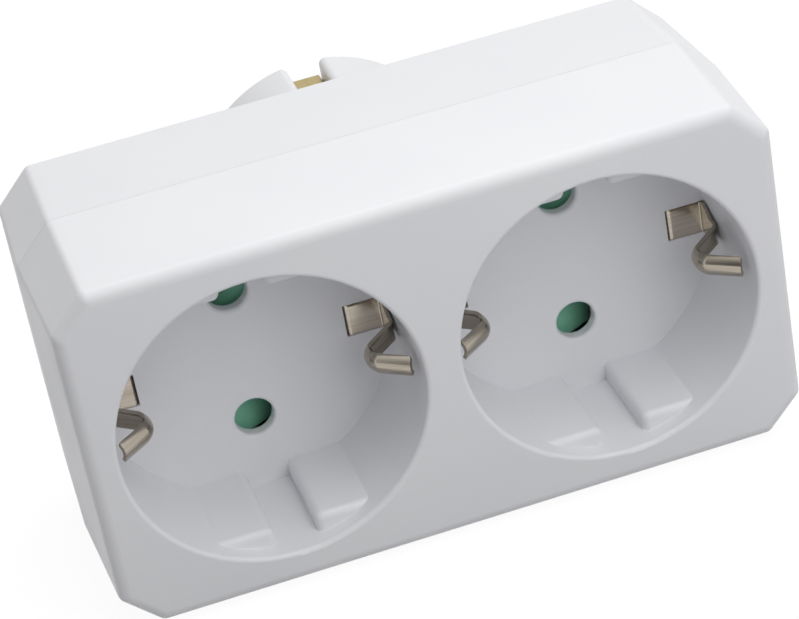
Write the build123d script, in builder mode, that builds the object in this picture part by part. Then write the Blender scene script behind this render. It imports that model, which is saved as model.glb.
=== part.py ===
# Two-way socket adapter: a drafted housing in two covers, two earthed two-pin socket recesses with
# turning safety shutters, bent brass bars inside, and an earthed two-pin plug on the rear cover.
# Millimetres. +X runs along the housing, -Y points out of the sockets, +Z is up.
# The origin is under the middle of the whole part, at the level of the housing's lowest edge.
from build123d import *

import os
from math import acos, atan, atan2, degrees, hypot, sqrt

# Pins of the plug system, and the holes they enter
pin_radius = 2.4
pin_length = 19.0
pin_spacing = 19.0
pin_tip_radius = 2.0
pin_hole_clearance = 0.25
pin_hole_lead = 0.5

# Socket recesses
recess_radius = 19.8
recess_depth = 17.5
recess_wall = 1.5
recess_floor = 1.7
rim_radius = 0.6
socket_web = 5.0
guide_height = 2.8
guide_channel = 5.6
guide_setback = 2.6
guide_edge_radius = 1.0

# Housing
end_margin = 4.9
edge_margin = 5.2
corner_cut = 5.2
cover_wall = 2.0
face_wall = 2.0
rear_wall = 1.3
pin_end_room = 0.7
seam_step = 1.0
seam_groove = 0.06
seam_groove_depth = 0.6
front_inset = 0.8
rear_inset = 0.7
front_edge_radius = 1.7
rear_edge_radius = 0.6
corner_edge_radius = 1.2

# Plug body on the rear cover
plug_radius = 18.8
plug_height = 19.5
plug_wall = 2.0
plug_end_wall = 3.0
plug_edge_radius = 0.9
plug_guide_depth = 1.9
plug_rib = 5.0
earth_gap_width = 4.6
earth_gap_depth = 3.5
earth_gap_edge_radius = 0.9
pin_sleeve_length = 8.0
pin_sleeve_wall = 1.8

# Plug pins, from the tip inwards
pin_root_radius = 2.6
pin_collar_radius = 3.7
pin_collar_length = 1.2
pin_shank_radius = 2.2
pin_tenon_radius = 1.6
pin_head_radius = 2.8
pin_head_height = 1.0

# Shutters, their caps and springs
shutter_thickness = 4.0
shutter_reach = 3.7
shutter_half_width = 3.1
shutter_hub_radius = 4.4
shutter_hub_thickness = 1.6
shutter_open_angle = 37
ramp_start = 0.3
ramp_drop = 3.2
ramp_length = 7.7
pivot_radius = 2.0
cap_thickness = 1.2
cap_margin = 0.6
cap_hole_room = 0.7
cap_post_radius = 1.9
cap_post_x = 9.0
cap_post_z = 6.3
stop_width = 1.6
stop_length = 3.0
spring_wire_radius = 0.2
spring_leg_length = 7.5
spring_leg_overhang = 0.8

# Brass strips
strip_thickness = 0.8
clip_thickness = 0.5
clip_width = 4.5
clip_rise = 0.45
clip_spring_width = 2.7
clip_crown = 0.7
clip_wall_gap = 0.3
clip_tab_length = 4.6
clip_tail_length = 5.2
clip_taper_depth = 16.4
clip_spring_depth = 14.4
clip_shoulder_depth = 12.8
clip_bulge = 4.3
clip_bulge_depth = 7.7
clip_bulge_length = 2.0
clip_tip_depth = 3.9
clip_tip_gap = 0.85
clip_bend_radius = 0.45
clip_shoulder_radius = 1.5
clip_bulge_radius = 1.7
earth_bar_width = 5.0
bracket_width = 4.0
bracket_bend_radius = 1.2
bracket_end_room = 0.8
bar_width = 7.0
bar_standoff = 3.4
bar_post_radius = 2.4
bar_post_offset = 7.1
bar_stake_radius = 1.1
bar_stake_rise = 0.6
contact_pad_radius = 5.0
contact_hole_room = 0.5
tongue_thickness = 0.6
tongue_width = 5.0
tongue_foot_room = 1.5
tongue_foot_length = 1.2
tongue_grip = 0.2
tongue_flare = 1.0
tongue_flare_length = 1.4
tongue_tip_room = 1.0

# Fasteners
rivet_radius = 1.0
rivet_head_radius = 1.7
rivet_head_height = 0.7
rivet_offset = 2.9
cap_screw_radius = 0.8
cap_screw_head_radius = 1.7
cap_screw_head_height = 1.2
cap_screw_length = 4.6
cover_screw_radius = 1.4
cover_screw_head_radius = 2.6
cover_screw_head_height = 2.0
cover_screw_length = 22.0
cover_screw_recess = 7.0
screw_inset_x = 7.6
screw_inset_z = 6.1
boss_wall = 1.8

# Clearances
running_gap = 0.05
slide_gap = 0.2
strip_gap = 0.2
clip_gap = 0.06
screw_gap = 0.25
pick_room = 0.01

# Places and depths behind the front face, worked out from the sizes above
socket_x = recess_radius + socket_web / 2
contact_z = pin_spacing / 2
plug_pin_x = pin_spacing / 2
housing_length = 2 * (socket_x + recess_radius + end_margin)
housing_height = 2 * (recess_radius + edge_margin)
housing_depth = recess_depth + pin_length + pin_end_room + rear_wall
floor_back = recess_depth + recess_floor
seam_depth = floor_back + seam_step
plug_end = housing_depth + plug_height
total_depth = plug_end + pin_length
front_y = -total_depth / 2
axis_z = housing_height / 2
screw_x = housing_length / 2 - screw_inset_x
screw_z = housing_height / 2 - screw_inset_z
guide_flat = recess_radius - guide_height
shutter_radius = contact_z + shutter_reach
shutter_front = floor_back + slide_gap
shutter_back = shutter_front + shutter_thickness
cap_front = shutter_back + slide_gap
cap_back = cap_front + cap_thickness
earth_bar_front = cap_back + clip_thickness
earth_bar_back = earth_bar_front + strip_thickness
bracket_back = earth_bar_back + strip_thickness
bar_back = housing_depth - rear_wall - bar_standoff
bar_front = bar_back - strip_thickness
bar_post_x = socket_x + bar_post_offset
slot_x = recess_radius - clip_tab_length - strip_thickness
slot_inner = slot_x - clip_thickness / 2 - clip_gap
slot_outer = slot_x + clip_bend_radius + clip_thickness / 2
clip_slot_width = clip_width + 2 * clip_gap
rivet_x = slot_x - rivet_offset
bracket_leg_z = plug_radius - earth_gap_depth + strip_gap + strip_thickness / 2
pin_hole_radius = pin_radius + pin_hole_clearance
front_draft = degrees(atan(front_inset / seam_depth))
rear_draft = degrees(atan(rear_inset / (housing_depth - seam_depth)))
inner_back = housing_depth - rear_wall
sleeve_front = plug_end - plug_end_wall - pin_sleeve_length
screw_seat = housing_depth - cover_screw_recess
stop_x = shutter_half_width + slide_gap + stop_width / 2

os.makedirs("parts", exist_ok=True)


def at_depth(depth, x=0, turn=1):
    """Plane facing out of the front, at a depth behind it. A turn of -1 is half a turn about Y."""
    return Plane(origin=(x, front_y + depth, axis_z), x_dir=(turn, 0, 0), z_dir=(0, -1, 0))


def from_behind(depth):
    """Plane facing out of the back, at a depth behind the front face."""
    return Plane(origin=(0, front_y + depth, axis_z), x_dir=(-1, 0, 0), z_dir=(0, 1, 0))


def strip_plane(x, z=0, side=1):
    """Plane of a strip's side view: its x runs along X, or against it, and its y is the depth."""
    return Plane(origin=(x, front_y, axis_z + z), x_dir=(side, 0, 0), z_dir=(0, 0, side))


def turning_axis(x, z=0):
    """Line along the depth, for turned pieces."""
    return Axis((x, front_y, axis_z + z), (0, 1, 0))


def both_sockets():
    """Places of the two socket axes."""
    return GridLocations(2 * socket_x, 0, 2, 1)


def all_pin_holes():
    """Places of the four pin holes."""
    return GridLocations(2 * socket_x, pin_spacing, 2, 2)


def housing_screws():
    """Places of the four cover screws."""
    return GridLocations(2 * screw_x, 2 * screw_z, 2, 2)


def cap_posts(x=0):
    """Places of the two screw posts of a shutter cap."""
    return Locations((x + cap_post_x, -cap_post_z), (x - cap_post_x, cap_post_z))


def clip_places(x, offset=0):
    """Places at a distance from a socket's axis on its two clips, which are half a turn apart."""
    return Locations((offset + x, clip_rise), (offset - x, -clip_rise))


def edges_at(depth):
    """Edges of the piece in hand whose middle lies at one depth."""
    y = front_y + depth
    return edges().filter_by_position(Axis.Y, y - pick_room, y + pick_room)


def guide_edges():
    """Edges of the guide blocks: beside their channels, and at their front ends."""
    reach = hypot(guide_channel / 2, guide_flat)

    def beside_channel(edge):
        middle = edge.center()
        return abs(hypot(abs(middle.X) - socket_x, middle.Z - axis_z) - reach) < pick_room

    long_edges = edges().filter_by(Axis.Y).filter_by(beside_channel)
    front_ends = edges_at(guide_setback)
    return long_edges + front_ends.filter_by(Axis.X) + front_ends.filter_by(Axis.Z)


def earth_gap_edges():
    """Long outer edges of the plug beside its earth gaps."""

    def beside_gap(edge):
        middle = edge.center()
        at_gap = abs(abs(middle.X) - earth_gap_width / 2) < pick_room
        return at_gap and abs(hypot(middle.X, middle.Z - axis_z) - plug_radius) < pick_room

    return edges().filter_by(Axis.Y).filter_by(beside_gap)


def pin_hole_mouths():
    """Front edges of the pin holes."""
    floor_circles = edges_at(recess_depth).filter_by(GeomType.CIRCLE)
    return floor_circles.filter_by(lambda edge: abs(edge.radius - pin_hole_radius) < pick_room)


def housing_outline(wall=0):
    """Rectangle with cut corners, the housing's section at the seam, a wall smaller all round."""
    Rectangle(housing_length - 2 * wall, housing_height - 2 * wall)
    chamfer(vertices(), length=corner_cut - wall * (2 - sqrt(2)))


def drafted_block(base, height, draft_angle, wall=0):
    """Housing outline raised from a base plane, its plane sides leaning in by a moulding draft."""
    with BuildSketch(base) as section:
        housing_outline(wall)
    extrude(section.sketch, amount=height)
    draft(faces().filter_by(Axis.Y, reverse=True), base, draft_angle)


def plug_outline():
    """Round plug section with a gap for each earth strip and a ribbed guide notch on each side."""
    Circle(plug_radius)
    with Locations((0, plug_radius), (0, -plug_radius)):
        Rectangle(earth_gap_width, 2 * earth_gap_depth, mode=Mode.SUBTRACT)
    with GridLocations(2 * plug_radius, plug_rib + plug_radius, 2, 2):
        Rectangle(2 * plug_guide_depth, plug_radius, mode=Mode.SUBTRACT)


def plug_hollow():
    """Room inside the plug section, a wall away from its gaps and notches."""
    Circle(plug_radius - plug_wall)
    with Locations((0, plug_radius), (0, -plug_radius)):
        Rectangle(earth_gap_width + 2 * plug_wall, 2 * (earth_gap_depth + plug_wall), mode=Mode.SUBTRACT)
    with Locations((plug_radius, 0), (-plug_radius, 0)):
        Rectangle(2 * (plug_guide_depth + plug_wall), 2 * plug_radius, mode=Mode.SUBTRACT)


def save(builder, name):
    """Names a finished piece and writes it."""
    builder.part.label = name
    export_step(builder.part, f"parts/{name}.step")


# Room inside each cover
with BuildPart() as front_room:
    drafted_block(at_depth(seam_depth), seam_depth - face_wall, front_draft, cover_wall)
with BuildPart() as rear_room:
    drafted_block(from_behind(seam_depth), inner_back - seam_depth, rear_draft, cover_wall)


# Front cover: drafted shell with two socket cups
with BuildPart() as front_cover:
    drafted_block(at_depth(seam_depth), seam_depth, front_draft)
    fillet(edges_at(seam_depth / 2), radius=corner_edge_radius)
    fillet(faces().sort_by(Axis.Y)[0].edges(), radius=front_edge_radius)
    add(front_room.part, mode=Mode.SUBTRACT)
    with BuildSketch(at_depth(seam_depth)):
        housing_outline()
        with BuildSketch(mode=Mode.PRIVATE) as lip:
            housing_outline(seam_groove_depth)
        add(lip.sketch, mode=Mode.SUBTRACT)
    extrude(amount=seam_groove, mode=Mode.SUBTRACT)

    # Socket cups and screw bosses inside
    with BuildSketch(at_depth(floor_back)):
        with both_sockets():
            Circle(recess_radius + recess_wall)
    extrude(amount=floor_back - face_wall / 2)
    with BuildSketch(at_depth(seam_depth)):
        with housing_screws():
            Circle(cover_screw_radius + boss_wall)
    extrude(amount=seam_depth - face_wall / 2)

    # Recesses with a rounded rim
    with BuildSketch(at_depth(recess_depth)):
        with both_sockets():
            Circle(recess_radius)
    extrude(amount=recess_depth, mode=Mode.SUBTRACT)
    rims = [wire.edges() for wire in faces().sort_by(Axis.Y)[0].inner_wires()]
    fillet([edge for rim in rims for edge in rim], radius=rim_radius)

    # Guide blocks above and below, in pairs with a channel between
    with BuildSketch(at_depth(recess_depth)):
        with both_sockets():
            Circle(recess_radius + recess_wall / 2)
        with both_sockets():
            Rectangle(2 * recess_radius + recess_wall, 2 * guide_flat, mode=Mode.SUBTRACT)
            Rectangle(guide_channel, 2 * recess_radius + recess_wall, mode=Mode.SUBTRACT)
    extrude(amount=recess_depth - guide_setback)
    fillet(guide_edges(), radius=guide_edge_radius)

    # Pin holes with a rounded mouth
    with BuildSketch(at_depth(floor_back)):
        with all_pin_holes():
            Circle(pin_hole_radius)
    extrude(amount=recess_floor, mode=Mode.SUBTRACT)
    fillet(pin_hole_mouths(), radius=pin_hole_lead)

    # Slots for the earth clips, and seats that sink their tabs level with the floor
    with BuildSketch(at_depth(floor_back)):
        for x in (-socket_x, socket_x):
            with clip_places((slot_inner + slot_outer) / 2, x):
                Rectangle(slot_outer - slot_inner, clip_slot_width)
    extrude(amount=recess_floor, mode=Mode.SUBTRACT)
    with BuildSketch(at_depth(recess_depth + clip_thickness)):
        for x in (-socket_x, socket_x):
            with clip_places((slot_inner + recess_radius) / 2, x):
                Rectangle(recess_radius - slot_inner, clip_slot_width)
    extrude(amount=clip_thickness, mode=Mode.SUBTRACT)

    # Pivots, cap posts and shutter stops on the back of each floor
    with BuildSketch(at_depth(floor_back)):
        with both_sockets():
            Circle(pivot_radius)
    extrude(amount=floor_back - cap_back)
    with BuildSketch(at_depth(floor_back)):
        for x in (-socket_x, socket_x):
            with cap_posts(x):
                Circle(cap_post_radius)
    extrude(amount=floor_back - cap_front)
    for x in (-socket_x, socket_x):
        with BuildSketch(at_depth(floor_back, x)):
            with Locations((-stop_x, contact_z)):
                Rectangle(stop_width, stop_length)
        extrude(amount=floor_back - shutter_back)
        with BuildSketch(at_depth(floor_back, x).rotated((0, shutter_open_angle, 0))):
            with Locations((stop_x, contact_z)):
                Rectangle(stop_width, stop_length)
        extrude(amount=floor_back - shutter_back)

    # Pilot holes for both kinds of screw
    with BuildSketch(at_depth(cap_front)):
        for x in (-socket_x, socket_x):
            with cap_posts(x):
                Circle(cap_screw_radius + running_gap)
    extrude(amount=cap_screw_length - cap_thickness + slide_gap, mode=Mode.SUBTRACT)
    with BuildSketch(at_depth(seam_depth)):
        with housing_screws():
            Circle(cover_screw_radius + running_gap)
    extrude(amount=seam_depth - (screw_seat - cover_screw_length) + slide_gap, mode=Mode.SUBTRACT)
save(front_cover, "front_cover")


# Rear cover: drafted shell with the plug body moulded on its back
with BuildPart() as rear_cover:
    drafted_block(from_behind(seam_depth), housing_depth - seam_depth, rear_draft)
    fillet(edges_at((seam_depth + housing_depth) / 2), radius=corner_edge_radius)
    fillet(faces().sort_by(Axis.Y)[-1].edges(), radius=rear_edge_radius)
    add(rear_room.part, mode=Mode.SUBTRACT)

    # Plug body, hollow towards the housing
    with BuildSketch(from_behind(inner_back)):
        plug_outline()
    extrude(amount=rear_wall + plug_height)
    fillet(earth_gap_edges(), radius=earth_gap_edge_radius)
    fillet(faces().sort_by(Axis.Y)[-1].edges(), radius=plug_edge_radius)
    with BuildSketch(from_behind(inner_back)):
        plug_hollow()
    extrude(amount=rear_wall + plug_height - plug_end_wall, mode=Mode.SUBTRACT)

    # Sleeves and bores for the plug pins
    with BuildSketch(from_behind(sleeve_front)):
        with GridLocations(2 * plug_pin_x, 0, 2, 1):
            Circle(pin_root_radius + pin_sleeve_wall)
    extrude(amount=pin_sleeve_length + plug_end_wall / 2)
    with BuildSketch(from_behind(sleeve_front)):
        with GridLocations(2 * plug_pin_x, 0, 2, 1):
            Circle(pin_root_radius + running_gap)
    extrude(amount=pin_sleeve_length + plug_end_wall, mode=Mode.SUBTRACT)

    # Slots in the rear wall for the legs of the earth bracket
    with BuildSketch(from_behind(inner_back)):
        with GridLocations(0, 2 * bracket_leg_z, 1, 2):
            Rectangle(bracket_width + 2 * strip_gap, strip_thickness + strip_gap)
    extrude(amount=rear_wall, mode=Mode.SUBTRACT)

    # Posts with stakes that carry the bars
    with BuildSketch(from_behind(bar_back)):
        with GridLocations(2 * bar_post_x, pin_spacing, 2, 2):
            Circle(bar_post_radius)
    extrude(amount=bar_standoff + rear_wall / 2)
    with BuildSketch(from_behind(bar_front - bar_stake_rise)):
        with GridLocations(2 * bar_post_x, pin_spacing, 2, 2):
            Circle(bar_stake_radius)
    extrude(amount=bar_stake_rise + strip_thickness + bar_standoff)

    # Screw bosses with recessed heads
    with BuildSketch(from_behind(seam_depth)):
        with housing_screws():
            Circle(cover_screw_head_radius + screw_gap + boss_wall / 2)
    extrude(amount=housing_depth - seam_depth - rear_wall / 2)
    with Locations(from_behind(housing_depth)):
        with housing_screws():
            CounterBoreHole(
                radius=cover_screw_radius + screw_gap,
                counter_bore_radius=cover_screw_head_radius + screw_gap,
                counter_bore_depth=cover_screw_recess,
                depth=housing_depth - seam_depth,
            )
save(rear_cover, "rear_cover")


def make_shutter(name, x):
    """Turning shutter: two arms with opposite ramps that cover both pin holes."""
    with BuildPart() as shutter:
        with BuildSketch(at_depth(shutter_back, x)):
            Circle(shutter_radius)
            Rectangle(2 * shutter_half_width, 2 * shutter_radius, mode=Mode.INTERSECT)
            Circle(shutter_hub_radius)
        extrude(amount=shutter_thickness)

        # Pocket for the spring behind the hub, and the pivot bore
        with BuildSketch(at_depth(shutter_back, x)):
            Circle(shutter_hub_radius + slide_gap)
        extrude(amount=shutter_thickness - shutter_hub_thickness, mode=Mode.SUBTRACT)
        with BuildSketch(at_depth(shutter_back, x)):
            Circle(pivot_radius + running_gap)
        extrude(amount=shutter_thickness, mode=Mode.SUBTRACT)

        # Ramp on each arm, deeper to the right on the lower arm and to the left on the upper one
        for side in (-1, 1):
            ramp_z = side * (shutter_radius - ramp_length)
            with BuildSketch(strip_plane(x, ramp_z, -side)):
                with BuildLine():
                    Polyline(
                        (-shutter_half_width, shutter_front),
                        (shutter_half_width, shutter_front),
                        (shutter_half_width, shutter_front + ramp_drop),
                        (-shutter_half_width, shutter_front + ramp_start),
                        close=True,
                    )
                make_face()
            extrude(amount=-ramp_length, mode=Mode.SUBTRACT)
    save(shutter, name)


def make_spring(name, x):
    """Hairpin wire spring: a leg on the shutter's upper arm, a bend round the pivot, a leg on a post."""
    loop_radius = shutter_half_width + running_gap + spring_wire_radius
    post_distance = hypot(cap_post_x, cap_post_z)
    post_angle = 360 - degrees(atan2(cap_post_x, cap_post_z))
    reach = loop_radius - cap_post_radius - spring_wire_radius - running_gap
    leave_angle = post_angle - degrees(acos(reach / post_distance))
    wrap = leave_angle - 90
    rest_length = sqrt(post_distance**2 - reach**2) + spring_leg_overhang
    spring_depth = (shutter_front + shutter_hub_thickness + cap_front) / 2
    with BuildPart() as spring:
        with BuildLine(at_depth(spring_depth, x)) as path:
            Line((loop_radius, spring_leg_length), (loop_radius, 0))
            bend = CenterArc((0, 0), loop_radius, 0, -wrap)
            PolarLine(bend @ 1, rest_length, direction=bend % 1)
        with BuildSketch(Plane(origin=path.line @ 0, z_dir=path.line % 0)):
            Circle(spring_wire_radius)
        sweep(path=path.line)
    save(spring, name)


def make_cap(name, x):
    """Plate that holds a shutter on its pivot, notched for the earth clip tails."""
    notch_x = slot_x - clip_tail_length - strip_gap
    with BuildPart() as cap:
        with BuildSketch(at_depth(cap_back, x)):
            Circle(hypot(cap_post_x, cap_post_z) + cap_post_radius + cap_margin)
            Circle(pivot_radius + running_gap, mode=Mode.SUBTRACT)
            with GridLocations(0, pin_spacing, 1, 2):
                Circle(pin_hole_radius + cap_hole_room, mode=Mode.SUBTRACT)
            with cap_posts():
                Circle(cap_screw_radius + running_gap, mode=Mode.SUBTRACT)
            with clip_places(notch_x + recess_radius / 2):
                Rectangle(recess_radius, clip_slot_width, mode=Mode.SUBTRACT)
        extrude(amount=cap_thickness)
    save(cap, name)


def spring_section(path, share, crown):
    """Section of a clip's spring at a share of its path, its middle raised towards the plug."""
    half = clip_spring_width / 2
    with BuildSketch(Plane(origin=path @ share, x_dir=(0, 0, 1), z_dir=path % share)) as section:
        with BuildLine():
            if crown:
                ThreePointArc((-half, 0), (0, crown), (half, 0))
            else:
                Line((-half, 0), (half, 0))
        trace(line_width=clip_thickness)
    return section.sketch


def make_clip(name, x, side):
    """Earth clip: tail behind the floor, tab sunk in the floor, arched spring at the recess wall."""
    half = clip_thickness / 2
    tail_depth = cap_back + half
    tab_depth = recess_depth + half
    wall_x = recess_radius - clip_wall_gap - half
    bulge_x = wall_x - clip_bulge
    tab_low = clip_rise - clip_width / 2
    tab_high = clip_rise + clip_width / 2
    spring_half = clip_spring_width / 2
    with BuildPart() as clip:
        with BuildSketch(strip_plane(x, 0, side)):
            with BuildLine():
                FilletPolyline(
                    (slot_x - clip_tail_length, tail_depth),
                    (slot_x, tail_depth),
                    (slot_x, tab_depth),
                    (wall_x, tab_depth),
                    (wall_x, clip_spring_depth),
                    radius=clip_bend_radius,
                )
            trace(line_width=clip_thickness)
        extrude(amount=clip_width, both=True)

        # Flat outline seen from the socket's axis, narrowing to the spring
        side_view = Plane(origin=(x, front_y, axis_z), x_dir=(0, 0, side), z_dir=(-side, 0, 0))
        with BuildSketch(side_view):
            with BuildLine():
                Polyline(
                    (tab_low, earth_bar_front),
                    (tab_low, clip_taper_depth),
                    (-spring_half, clip_spring_depth),
                    (spring_half, clip_spring_depth),
                    (tab_high, clip_taper_depth),
                    (tab_high, earth_bar_front),
                    close=True,
                )
            make_face()
        extrude(amount=recess_radius, both=True, mode=Mode.INTERSECT)

        # Spring swept along its bends, flat at its root and arched from its middle on
        with BuildLine(strip_plane(x, 0, side)) as spring:
            FilletPolyline(
                (wall_x, clip_spring_depth),
                (wall_x, clip_shoulder_depth),
                (bulge_x, clip_bulge_depth + clip_bulge_length / 2),
                (bulge_x, clip_bulge_depth - clip_bulge_length / 2),
                (wall_x - clip_tip_gap, clip_tip_depth),
                radius=(clip_shoulder_radius, clip_bulge_radius, clip_bulge_radius),
            )
        crowns = (0, side * clip_crown, side * clip_crown)
        sections = [spring_section(spring.line, share, crown) for share, crown in zip((0, 0.5, 1), crowns)]
        sweep(sections, path=spring.line, multisection=True)

        # Hole for the rivet
        with BuildSketch(at_depth(earth_bar_front, x, side)):
            with Locations((rivet_x, 0)):
                Circle(rivet_radius + running_gap)
        extrude(amount=clip_thickness, mode=Mode.SUBTRACT)
    save(clip, name)


def make_bar(name, turn):
    """Brass bar of one pole: a strip over both sockets, a branch to its plug pin, tongues at each hole."""
    with BuildPart() as bar:
        with BuildSketch(at_depth(bar_back, 0, turn)):
            with Locations((0, contact_z)):
                Rectangle(2 * (bar_post_x + bar_post_radius), bar_width)
            with Locations((-socket_x, contact_z), (socket_x, contact_z)):
                Circle(contact_pad_radius)
            with Locations((-plug_pin_x, contact_z / 2)):
                Rectangle(bar_width, contact_z)
            with Locations((-plug_pin_x, 0)):
                Circle(bar_width / 2)
                Circle(pin_tenon_radius + running_gap, mode=Mode.SUBTRACT)
            with Locations((-socket_x, contact_z), (socket_x, contact_z)):
                Circle(pin_radius + contact_hole_room, mode=Mode.SUBTRACT)
            with Locations((-bar_post_x, contact_z), (bar_post_x, contact_z)):
                Circle(bar_stake_radius + running_gap, mode=Mode.SUBTRACT)
        extrude(amount=strip_thickness)

        # Tongues that grip a pin from both sides
        half = tongue_thickness / 2
        foot_x = pin_radius + tongue_foot_room
        grip_x = pin_radius - tongue_grip + half
        tip_depth = cap_back + tongue_tip_room
        for contact_x in (-socket_x, socket_x):
            for side in (-1, 1):
                with BuildSketch(strip_plane(turn * contact_x, turn * contact_z, side)):
                    with BuildLine():
                        FilletPolyline(
                            (foot_x, bar_front + strip_thickness / 2),
                            (foot_x, bar_front - tongue_foot_length),
                            (grip_x, tip_depth + tongue_flare_length),
                            (grip_x + tongue_flare, tip_depth),
                            radius=tongue_thickness,
                        )
                    trace(line_width=tongue_thickness)
                extrude(amount=tongue_width / 2, both=True)
    save(bar, name)


def make_plug_pin(name, x):
    """Turned pin: rounded tip, root in the plug's sleeve, collar, shank and a riveted end in its bar."""
    collar_front = sleeve_front - pin_collar_length
    with BuildPart() as pin:
        with BuildSketch(strip_plane(x)):
            with BuildLine():
                Polyline(
                    (0, total_depth),
                    (pin_radius, total_depth),
                    (pin_radius, plug_end),
                    (pin_root_radius, plug_end),
                    (pin_root_radius, sleeve_front),
                    (pin_collar_radius, sleeve_front),
                    (pin_collar_radius, collar_front),
                    (pin_shank_radius, collar_front),
                    (pin_shank_radius, bar_back),
                    (pin_tenon_radius, bar_back),
                    (pin_tenon_radius, bar_front),
                    (pin_head_radius, bar_front),
                    (0, bar_front - pin_head_height),
                    close=True,
                )
            make_face()
        revolve(axis=turning_axis(x))
        fillet(edges().group_by(Axis.Y)[-1], radius=pin_tip_radius)
    save(pin, name)


def turned_fastener(x, z, front, grip, shank_radius, head_radius, head_height, headed_front):
    """Turned shank over a grip length, with a domed head behind and, if asked, one in front."""
    back = front + grip
    dome_radius = (head_radius**2 + head_height**2) / (2 * head_height)
    with BuildSketch(strip_plane(x, z)) as section:
        with BuildLine():
            Polyline((0, front), (shank_radius, front), (shank_radius, back), (head_radius, back))
            RadiusArc((head_radius, back), (0, back + head_height), -dome_radius)
            Line((0, back + head_height), (0, front))
        make_face()
    revolve(section.sketch, axis=turning_axis(x, z))
    if headed_front:
        with BuildSketch(strip_plane(x, z)) as section:
            with BuildLine():
                Polyline((0, front - head_height), (0, front), (head_radius, front))
                RadiusArc((head_radius, front), (0, front - head_height), dome_radius)
            make_face()
        revolve(section.sketch, axis=turning_axis(x, z))


socket_sides = (("left", -socket_x), ("right", socket_x))
for side_name, axis_x in socket_sides:
    make_shutter(f"shutter_{side_name}", axis_x)
    make_spring(f"shutter_spring_{side_name}", axis_x)
    make_cap(f"shutter_cap_{side_name}", axis_x)
    make_clip(f"earth_clip_{side_name}_socket_left", axis_x, -1)
    make_clip(f"earth_clip_{side_name}_socket_right", axis_x, 1)

make_bar("live_bar", 1)
make_bar("neutral_bar", -1)
make_plug_pin("plug_pin_live", -plug_pin_x)
make_plug_pin("plug_pin_neutral", plug_pin_x)


# Earth bar behind both shutter caps
with BuildPart() as earth_bar:
    with BuildSketch(at_depth(earth_bar_back)):
        SlotOverall(2 * (socket_x + rivet_x) + earth_bar_width, earth_bar_width)
        with both_sockets():
            with GridLocations(2 * rivet_x, 0, 2, 1):
                Circle(rivet_radius + running_gap, mode=Mode.SUBTRACT)
        Circle(rivet_radius + running_gap, mode=Mode.SUBTRACT)
    extrude(amount=strip_thickness)
save(earth_bar, "earth_bar")


# Earth bracket of the plug: a bent strip whose two legs lie in the plug's gaps
with BuildPart() as plug_earth_bracket:
    side_view = Plane(origin=(0, front_y, axis_z), x_dir=(0, 0, 1), z_dir=(-1, 0, 0))
    cross_depth = earth_bar_back + strip_thickness / 2
    leg_end = plug_end - bracket_end_room
    with BuildSketch(side_view):
        with BuildLine():
            FilletPolyline(
                (bracket_leg_z, leg_end),
                (bracket_leg_z, cross_depth),
                (-bracket_leg_z, cross_depth),
                (-bracket_leg_z, leg_end),
                radius=bracket_bend_radius,
            )
        trace(line_width=strip_thickness)
    extrude(amount=bracket_width / 2, both=True)
    with BuildSketch(at_depth(bracket_back)):
        Circle(rivet_radius + running_gap)
    extrude(amount=strip_thickness, mode=Mode.SUBTRACT)
save(plug_earth_bracket, "plug_earth_bracket")


# Rivets that join the earth pieces
with BuildPart() as earth_rivets:
    rivet_shape = (rivet_radius, rivet_head_radius, rivet_head_height, True)
    clip_grip = clip_thickness + strip_thickness
    for axis_x in (-socket_x, socket_x):
        for side in (-1, 1):
            turned_fastener(axis_x + side * rivet_x, 0, cap_back, clip_grip, *rivet_shape)
    turned_fastener(0, 0, earth_bar_front, 2 * strip_thickness, *rivet_shape)
save(earth_rivets, "earth_rivets")


# Screws of the shutter caps
with BuildPart() as cap_screws:
    screw_shape = (cap_screw_length, cap_screw_radius, cap_screw_head_radius, cap_screw_head_height, False)
    screw_front = cap_back - cap_screw_length
    for axis_x in (-socket_x, socket_x):
        for side in (-1, 1):
            turned_fastener(axis_x + side * cap_post_x, -side * cap_post_z, screw_front, *screw_shape)
save(cap_screws, "cap_screws")


# Screws that hold the covers together, from the back
with BuildPart() as cover_screws:
    screw_shape = (
        cover_screw_length,
        cover_screw_radius,
        cover_screw_head_radius,
        cover_screw_head_height,
        False,
    )
    for x in (-screw_x, screw_x):
        for z in (-screw_z, screw_z):
            turned_fastener(x, z, screw_seat - cover_screw_length, *screw_shape)
save(cover_screws, "cover_screws")
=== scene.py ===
"""Dresses a two-way socket adapter: finishes, bent earth strips, wire springs, cover screws and a studio."""
from math import cos, radians, sin, tan

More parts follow.
